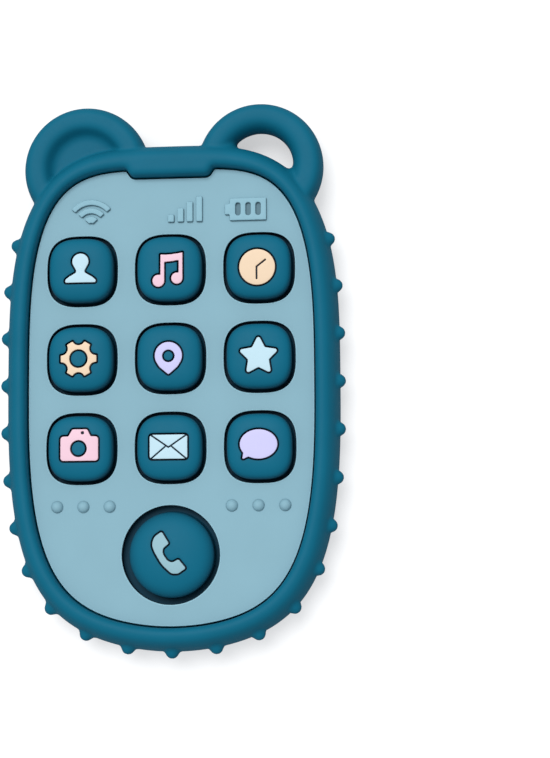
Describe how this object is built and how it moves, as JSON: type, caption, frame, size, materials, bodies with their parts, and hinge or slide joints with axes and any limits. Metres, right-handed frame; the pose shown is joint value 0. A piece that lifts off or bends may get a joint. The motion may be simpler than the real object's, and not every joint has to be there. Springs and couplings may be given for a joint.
{
  "type": "toy cell phone",
  "caption": "Soft silicone toy phone with two round ears, a raised rim, side studs and push keys with flush picture inlays; one ear is an open loop.",
  "frame": {"origin": "middle of the outline's box, on the back plane that the toy rests on", "axes": "+Z out of the face with the keys, +Y towards the ears, +X to the right as the face is read"},
  "size_m": [0.0936, 0.1493, 0.0172],
  "materials": {
    "body_silicone": "satin moulded silicone, deep teal blue",
    "key_silicone": "satin moulded silicone, deep teal blue",
    "web_silicone": "thin flexing silicone, deep teal blue",
    "panel_silicone": "matte moulded silicone, pale grey blue",
    "inlay_ice": "matte silicone, ice blue",
    "inlay_pink": "matte silicone, pale pink",
    "inlay_peach": "matte silicone, peach",
    "inlay_lavender": "matte silicone, lavender",
    "inlay_frost": "matte silicone, frosted grey blue"
  },
  "bodies": {
    "root": {"body_moulding": "body_silicone", "face_panel": "panel_silicone", "web_contact": "web_silicone", "web_music": "web_silicone", "web_clock": "web_silicone", "web_settings": "web_silicone", "web_place": "web_silicone", "web_star": "web_silicone", "web_camera": "web_silicone", "web_letter": "web_silicone", "web_speech": "web_silicone", "web_call": "web_silicone"},
    "contact_key": {"key_contact": "key_silicone", "inlay_contact": "inlay_ice"},
    "music_key": {"key_music": "key_silicone", "inlay_music": "inlay_pink"},
    "clock_key": {"key_clock": "key_silicone", "inlay_clock": "inlay_peach"},
    "settings_key": {"key_settings": "key_silicone", "inlay_settings": "inlay_peach"},
    "place_key": {"key_place": "key_silicone", "inlay_place": "inlay_lavender"},
    "star_key": {"key_star": "key_silicone", "inlay_star": "inlay_ice"},
    "camera_key": {"key_camera": "key_silicone", "inlay_camera": "inlay_pink"},
    "letter_key": {"key_letter": "key_silicone", "inlay_letter": "inlay_ice"},
    "speech_key": {"key_speech": "key_silicone", "inlay_speech": "inlay_lavender"},
    "call_key": {"key_call": "key_silicone", "inlay_call": "inlay_frost"}
  },
  "joints": [
    {"name": "contact_press", "type": "slide", "parent": "root", "child": "contact_key", "axis": [0, 0, -1], "range_m": [0, 0.003], "stiffness_N_per_m": 300, "deforming": ["web_contact"]},
    {"name": "music_press", "type": "slide", "parent": "root", "child": "music_key", "axis": [0, 0, -1], "range_m": [0, 0.003], "stiffness_N_per_m": 300, "deforming": ["web_music"]},
    {"name": "clock_press", "type": "slide", "parent": "root", "child": "clock_key", "axis": [0, 0, -1], "range_m": [0, 0.003], "stiffness_N_per_m": 300, "deforming": ["web_clock"]},
    {"name": "settings_press", "type": "slide", "parent": "root", "child": "settings_key", "axis": [0, 0, -1], "range_m": [0, 0.003], "stiffness_N_per_m": 300, "deforming": ["web_settings"]},
    {"name": "place_press", "type": "slide", "parent": "root", "child": "place_key", "axis": [0, 0, -1], "range_m": [0, 0.003], "stiffness_N_per_m": 300, "deforming": ["web_place"]},
    {"name": "star_press", "type": "slide", "parent": "root", "child": "star_key", "axis": [0, 0, -1], "range_m": [0, 0.003], "stiffness_N_per_m": 300, "deforming": ["web_star"]},
    {"name": "camera_press", "type": "slide", "parent": "root", "child": "camera_key", "axis": [0, 0, -1], "range_m": [0, 0.003], "stiffness_N_per_m": 300, "deforming": ["web_camera"]},
    {"name": "letter_press", "type": "slide", "parent": "root", "child": "letter_key", "axis": [0, 0, -1], "range_m": [0, 0.003], "stiffness_N_per_m": 300, "deforming": ["web_letter"]},
    {"name": "speech_press", "type": "slide", "parent": "root", "child": "speech_key", "axis": [0, 0, -1], "range_m": [0, 0.003], "stiffness_N_per_m": 300, "deforming": ["web_speech"]},
    {"name": "call_press", "type": "slide", "parent": "root", "child": "call_key", "axis": [0, 0, -1], "range_m": [0, 0.003], "stiffness_N_per_m": 400, "deforming": ["web_call"]}
  ]
}
